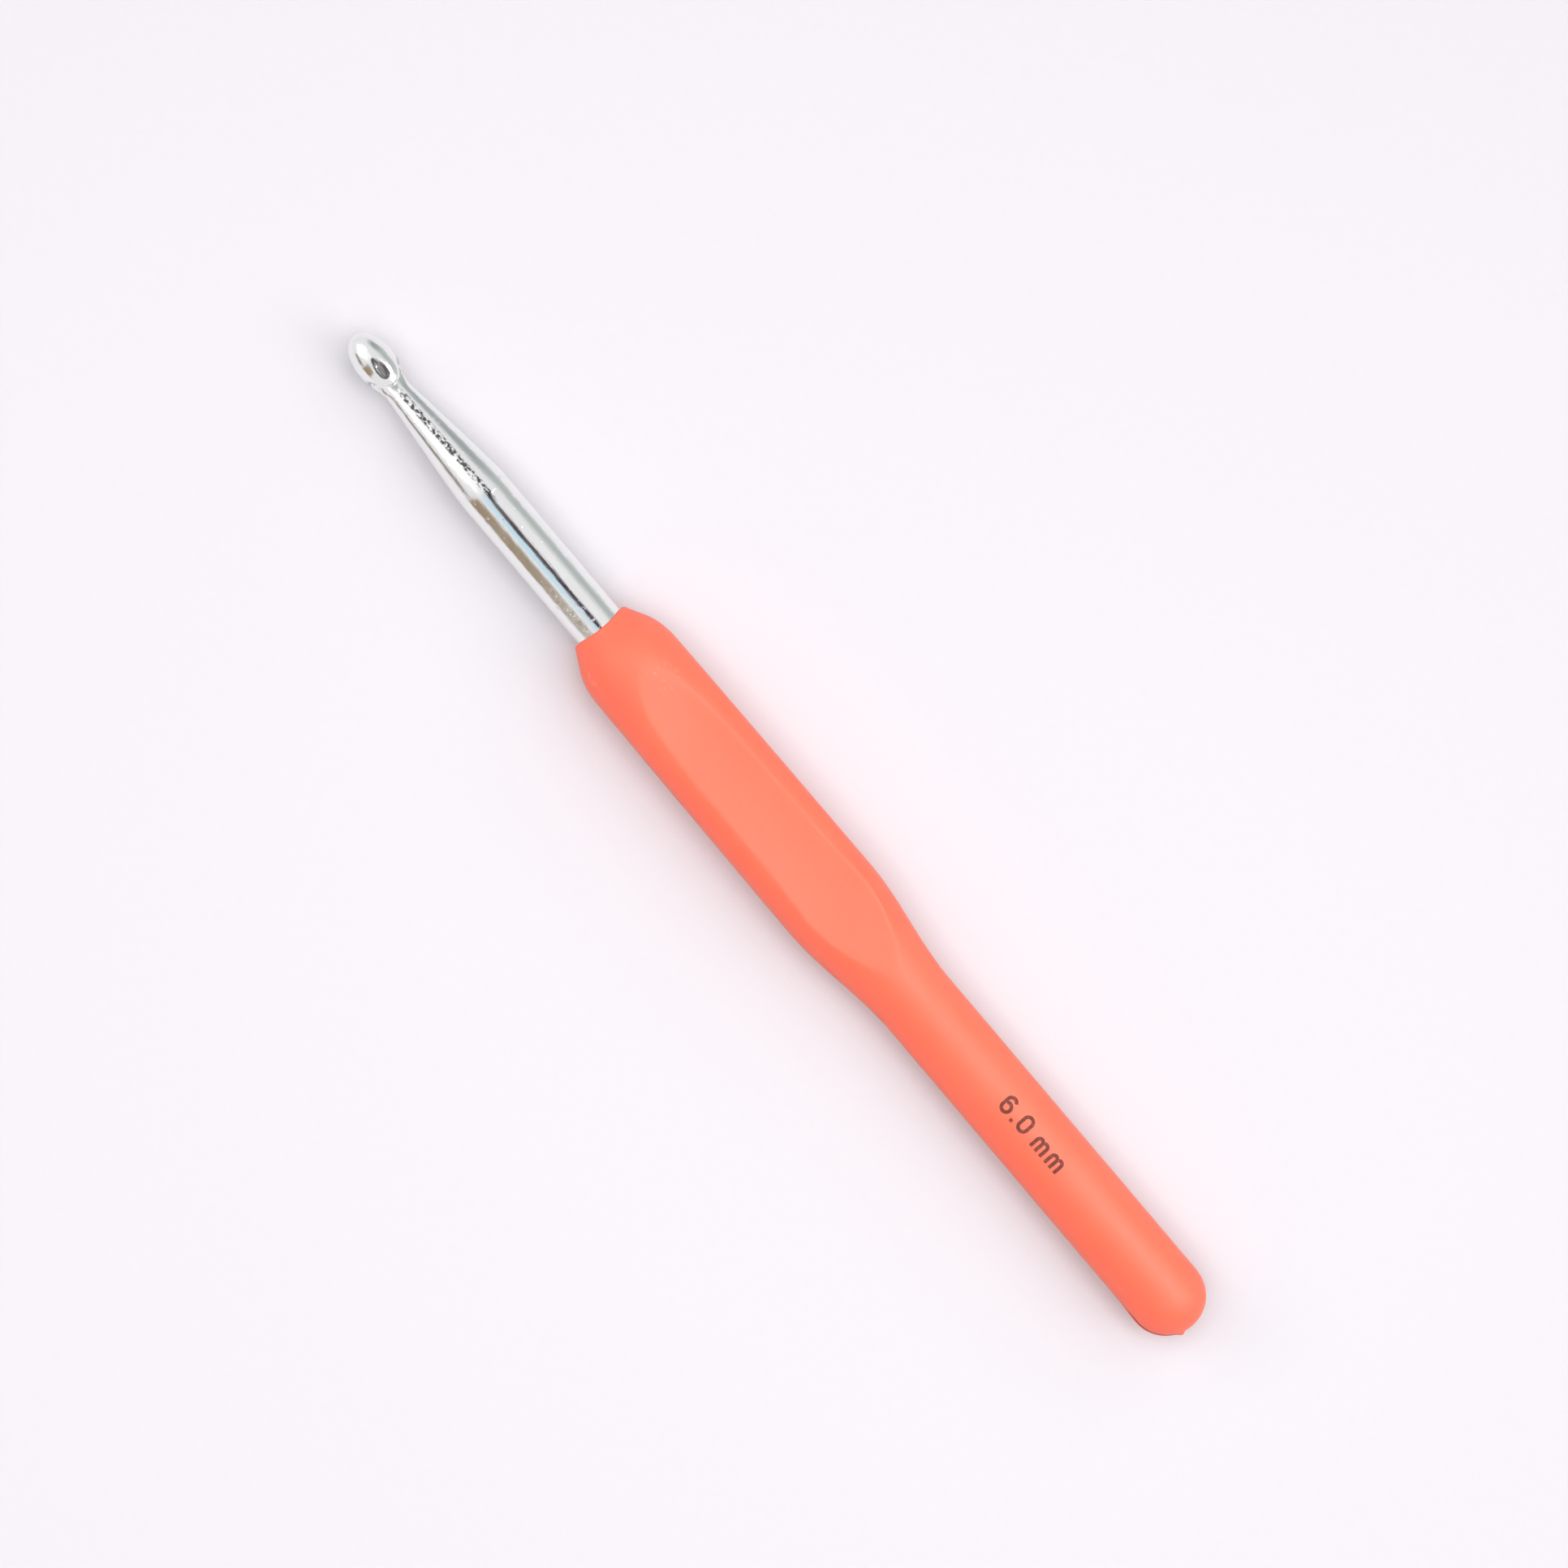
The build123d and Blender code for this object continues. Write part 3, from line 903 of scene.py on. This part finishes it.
def grip_material():
    """Coral elastomer: satin, slightly translucent, with a fine moulded grain and faint mottling."""
    m = Nodes("coral_elastomer")
    m.set(
        Subsurface_Weight=0.6,
        Subsurface_Radius=(1.0, 0.3, 0.2),
        Subsurface_Scale=0.001,
        Specular_IOR_Level=0.5,
    )
    cloud = m.noise(scale=90, detail=3.0)
    colour = m.mottle(cloud, CORAL_COLOURS)
    colour = m.cover(scuff_mask(m), colour, SCUFF_COLOUR)
    # Painted shade in the crease where the mould halves step, at the butt
    colour = m.cover(crease_shade_mask(m), colour, CREASE_SHADE_COLOUR)
    m.link("Base Color", colour)
    grain = m.noise(scale=5200, detail=2.0)
    m.link("Roughness", m.between(cloud, *NOISE_RANGE, out_low=0.5, out_high=0.58))
    m.link("Normal", m.bump(grain, distance=0.00001, strength=0.35))
    return m.material


def ink_material():
    """Dark red-brown print, thinner in places."""
    m = Nodes("brown_ink")
    wear = m.noise(scale=2600, detail=3.0)
    m.link("Base Color", m.blend(m.between(wear, 0.45, 0.8), *INK_COLOURS))
    m.set(Roughness=0.6, Specular_IOR_Level=0.3)
    return m.material


def core_material():
    """Natural moulded plastic for the hidden core."""
    m = Nodes("core_plastic")
    m.link("Base Color", m.mottle(m.noise(scale=120, detail=2.0), CORE_COLOURS))
    grain = m.noise(scale=3000, detail=1.0)
    m.link("Normal", m.bump(grain, distance=0.00001, strength=0.3))
    m.set(Roughness=0.55)
    return m.material


def floor_material():
    """Pale, even paper."""
    m = Nodes("pale_floor")
    m.link("Base Color", m.mottle(m.noise(scale=900, detail=4.0), FLOOR_COLOURS))
    m.set(Roughness=0.9, Specular_IOR_Level=0.1)
    return m.material


# ---------------------------------------------------------------- stage, light and camera

FLOOR_SIZE = 1.6
SURROUND_COLOUR = (0.98, 0.96, 0.99)
SURROUND_SEEN = 0.9
SURROUND_LIGHT = 0.32
CARD_MIDDLE = 0.5

# Name, azimuth, elevation, distance, size, power, and whether the lamp itself shows in reflections
LIGHTS = (
    ("overhead_light", 270, 84, 0.5, 0.45, 2.05, False),
    ("side_light", 90, 48, 2.0, 2.0, 14.5, False),
    ("head_end_light", 208, 40, 0.8, 0.5, 1.5, True),
    ("butt_end_light", 28, 42, 0.8, 0.5, 2.5, True),
)

# What the metal mirrors, and the card that gives the grip its broad highlight. Name, azimuth, elevation,
# distance, shift along the hook, size along and across, brightness in red, green and blue, and how far
# the edges fade.
REFLECTION_CARDS = (
    ("camera_card", 270, 85.5, 0.5, -0.03, (0.26, 0.17), (0.05, 0.035, 0.045), 0.2),
    ("grip_card", 90, 66, 0.6, 0.17, (0.36, 0.6), (7.0, 7.0, 7.0), 0.6),
    ("sky_card", 270, 66, 0.58, -0.095, (0.09, 0.24), (0.52, 0.8, 0.97), 0.5),
    ("wood_card", 270, 20, 0.65, -0.12, (0.16, 0.78), (0.33, 0.24, 0.145), 0.5),
    ("edge_card", 270, 12, 0.65, -0.4, (0.5, 0.24), (0.25, 0.21, 0.17), 0.6),
    ("window_card", 270, 71, 0.58, -0.6, (0.88, 0.49), (1.1, 1.1, 1.1), 0.3),
    ("front_card", 190, 40, 0.7, 0.0, (0.5, 0.4), (1.2, 1.2, 1.2), 0.3),
    ("wall_card", 90, 20, 0.85, -0.05, (2.4, 1.1), (0.48, 0.52, 0.51), 0.95),
    ("corner_card", 90, 22, 0.75, -0.5, (0.75, 0.9), (0.33, 0.37, 0.37), 0.95),
    ("low_card", 0, 10, 0.7, 0.0, (1.2, 0.12), (0.1, 0.05, 0.03), 0.3),
)

# The hook runs down to the right by HOOK_ANGLE. The picture's centre is off the hook's own middle by
# CENTRE_RIGHT and CENTRE_DOWN, in metres.
HOOK_ANGLE = math.radians(49.688)
CAMERA_TILT = math.radians(5.0)
CAMERA_DISTANCE = 0.52
FRAME_WIDTH = 0.1752
SENSOR_WIDTH = 36.0
CENTRE_RIGHT = -0.00131
CENTRE_DOWN = 0.0052
CLIP_START = 0.01
CLIP_END = 50


def sheet(name, width, height):
    """A flat rectangle, centred on its own origin and facing its own Z."""
    x, y = width / 2, height / 2
    mesh = bpy.data.meshes.new(name)
    mesh.from_pydata([(-x, -y, 0), (x, -y, 0), (x, y, 0), (-x, y, 0)], [], [(0, 1, 2, 3)])
    made = bpy.data.objects.new(name, mesh)
    bpy.context.scene.collection.objects.link(made)
    return made


def make_floor():
    """The plain floor, which isn't part of the object."""
    floor = sheet("floor", FLOOR_SIZE, FLOOR_SIZE)
    floor.data.materials.append(floor_material())


def aim(thing, position, target):
    """Put a light or card at a position, facing a target."""
    thing.location = position
    direction = Vector(target) - Vector(position)
    thing.rotation_euler = direction.to_track_quat("-Z", "Y").to_euler()


def around(azimuth, elevation, distance):
    """A point round the hook: azimuth in degrees from +X towards +Y, elevation above the floor."""
    a, e = math.radians(azimuth), math.radians(elevation)
    return Vector((math.cos(a) * math.cos(e), math.sin(a) * math.cos(e), math.sin(e))) * distance


def area_light(name, azimuth, elevation, distance, size, power, glossy):
    """A soft square light that faces the hook and isn't seen by the camera."""
    data = bpy.data.lights.new(name, "AREA")
    data.shape = "SQUARE"
    data.size = size
    data.energy = power
    light = bpy.data.objects.new(name, data)
    bpy.context.scene.collection.objects.link(light)
    aim(light, around(azimuth, elevation, distance), (0, 0, 0))
    light.visible_camera = False
    light.visible_glossy = glossy


def edge_fade(tree, place, edge):
    """0 at both edges of a card and 1 in its middle, from a place that runs from 0 to 1 across it."""
    offset = tree.nodes.new("ShaderNodeMath")
    offset.operation = "SUBTRACT"
    offset.inputs[1].default_value = CARD_MIDDLE
    tree.links.new(place, offset.inputs[0])
    size = tree.nodes.new("ShaderNodeMath")
    size.operation = "ABSOLUTE"
    tree.links.new(offset.outputs[0], size.inputs[0])
    fade = tree.nodes.new("ShaderNodeMapRange")
    fade.interpolation_type = "SMOOTHSTEP"
    fade.inputs["From Min"].default_value = CARD_MIDDLE
    fade.inputs["From Max"].default_value = CARD_MIDDLE - edge / 2
    tree.links.new(size.outputs[0], fade.inputs["Value"])
    return fade.outputs["Result"]


def card_material(name, colour, edge):
    """A glowing card that fades out over its edge, given as a share of its half width."""
    material = bpy.data.materials.new(name)
    material.use_nodes = True
    tree = material.node_tree
    tree.nodes.remove(tree.nodes["Principled BSDF"])
    coordinates = tree.nodes.new("ShaderNodeTexCoord")
    split = tree.nodes.new("ShaderNodeSeparateXYZ")
    tree.links.new(coordinates.outputs["Generated"], split.inputs[0])
    both = tree.nodes.new("ShaderNodeMath")
    both.operation = "MULTIPLY"
    for index, axis in enumerate(("X", "Y")):
        tree.links.new(edge_fade(tree, split.outputs[axis], edge), both.inputs[index])
    emission = tree.nodes.new("ShaderNodeEmission")
    emission.inputs["Color"].default_value = (*colour, 1)
    clear = tree.nodes.new("ShaderNodeBsdfTransparent")
    mix = tree.nodes.new("ShaderNodeMixShader")
    tree.links.new(both.outputs[0], mix.inputs[0])
    tree.links.new(clear.outputs[0], mix.inputs[1])
    tree.links.new(emission.outputs[0], mix.inputs[2])
    tree.links.new(mix.outputs[0], tree.nodes["Material Output"].inputs["Surface"])
    return material


def reflection_card(name, azimuth, elevation, distance, along, size, colour, edge):
    """A plain card that faces the hook and shows only in reflections."""
    card = sheet(name, *size)
    foot = Vector((along, 0, 0))
    aim(card, foot + around(azimuth, elevation, distance), foot)
    card.data.materials.append(card_material(name, colour, edge))
    card.visible_camera = False
    card.visible_diffuse = False
    card.visible_shadow = False
    card.visible_transmission = False


def make_world():
    """Plain pale surroundings, which light the hook less than they look, so that the lamps shape it."""
    world = bpy.data.worlds.new("studio")
    bpy.context.scene.world = world
    world.use_nodes = True
    tree = world.node_tree
    seen = tree.nodes["Background"]
    seen.inputs["Color"].default_value = (*SURROUND_COLOUR, 1)
    seen.inputs["Strength"].default_value = SURROUND_SEEN
    lighting = tree.nodes.new("ShaderNodeBackground")
    lighting.inputs["Color"].default_value = (*SURROUND_COLOUR, 1)
    lighting.inputs["Strength"].default_value = SURROUND_LIGHT
    path = tree.nodes.new("ShaderNodeLightPath")
    mix = tree.nodes.new("ShaderNodeMixShader")
    tree.links.new(path.outputs["Is Diffuse Ray"], mix.inputs[0])
    tree.links.new(seen.outputs[0], mix.inputs[1])
    tree.links.new(lighting.outputs[0], mix.inputs[2])
    tree.links.new(mix.outputs[0], tree.nodes["World Output"].inputs["Surface"])


def make_lights():
    """Light overhead, from the +Y side and towards each end of the hook, and the cards."""
    for light in LIGHTS:
        area_light(*light)
    for card in REFLECTION_CARDS:
        reflection_card(*card)


def make_camera():
    """Straight down but for a small tilt, with the hook running from upper left to lower right."""
    back = Vector((0, -math.sin(CAMERA_TILT), math.cos(CAMERA_TILT)))
    across = back.cross(Vector((1, 0, 0)))
    right = math.cos(HOOK_ANGLE) * Vector((1, 0, 0)) + math.sin(HOOK_ANGLE) * across
    up = back.cross(right)
    data = bpy.data.cameras.new("camera")
    data.sensor_width = SENSOR_WIDTH
    data.lens = SENSOR_WIDTH * CAMERA_DISTANCE / FRAME_WIDTH
    data.clip_start = CLIP_START
    data.clip_end = CLIP_END
    camera = bpy.data.objects.new("camera", data)
    bpy.context.scene.collection.objects.link(camera)
    target = Vector((0, 0, AXIS_HEIGHT * MM)) - CENTRE_RIGHT * right + CENTRE_DOWN * up
    place = target + CAMERA_DISTANCE * back
    camera.matrix_world = Matrix((
        (right.x, up.x, back.x, place.x),
        (right.y, up.y, back.y, place.y),
        (right.z, up.z, back.z, place.z),
        (0, 0, 0, 1),
    ))
    bpy.context.scene.camera = camera


# ---------------------------------------------------------------- everything together

def finish_piece(piece, node, material):
    """Give a piece its material and its body, and let it stand for its CAD node."""
    piece.data.materials.append(material)
    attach(piece, "root")
    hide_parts(node)


def carry_over(node, material):
    """Give a CAD node that stays its material."""
    made = frame["nodes"][node]
    made.data.materials.clear()
    made.data.materials.append(material)


make_camera()
finish_piece(make_shaft(), "hook_shaft", metal_material())
finish_piece(make_grip(), "soft_grip", grip_material())
finish_piece(make_mark(), "size_mark", ink_material())
carry_over("grip_core", core_material())
make_floor()
make_world()
make_lights()
bpy.context.scene.view_settings.view_transform = "Standard"
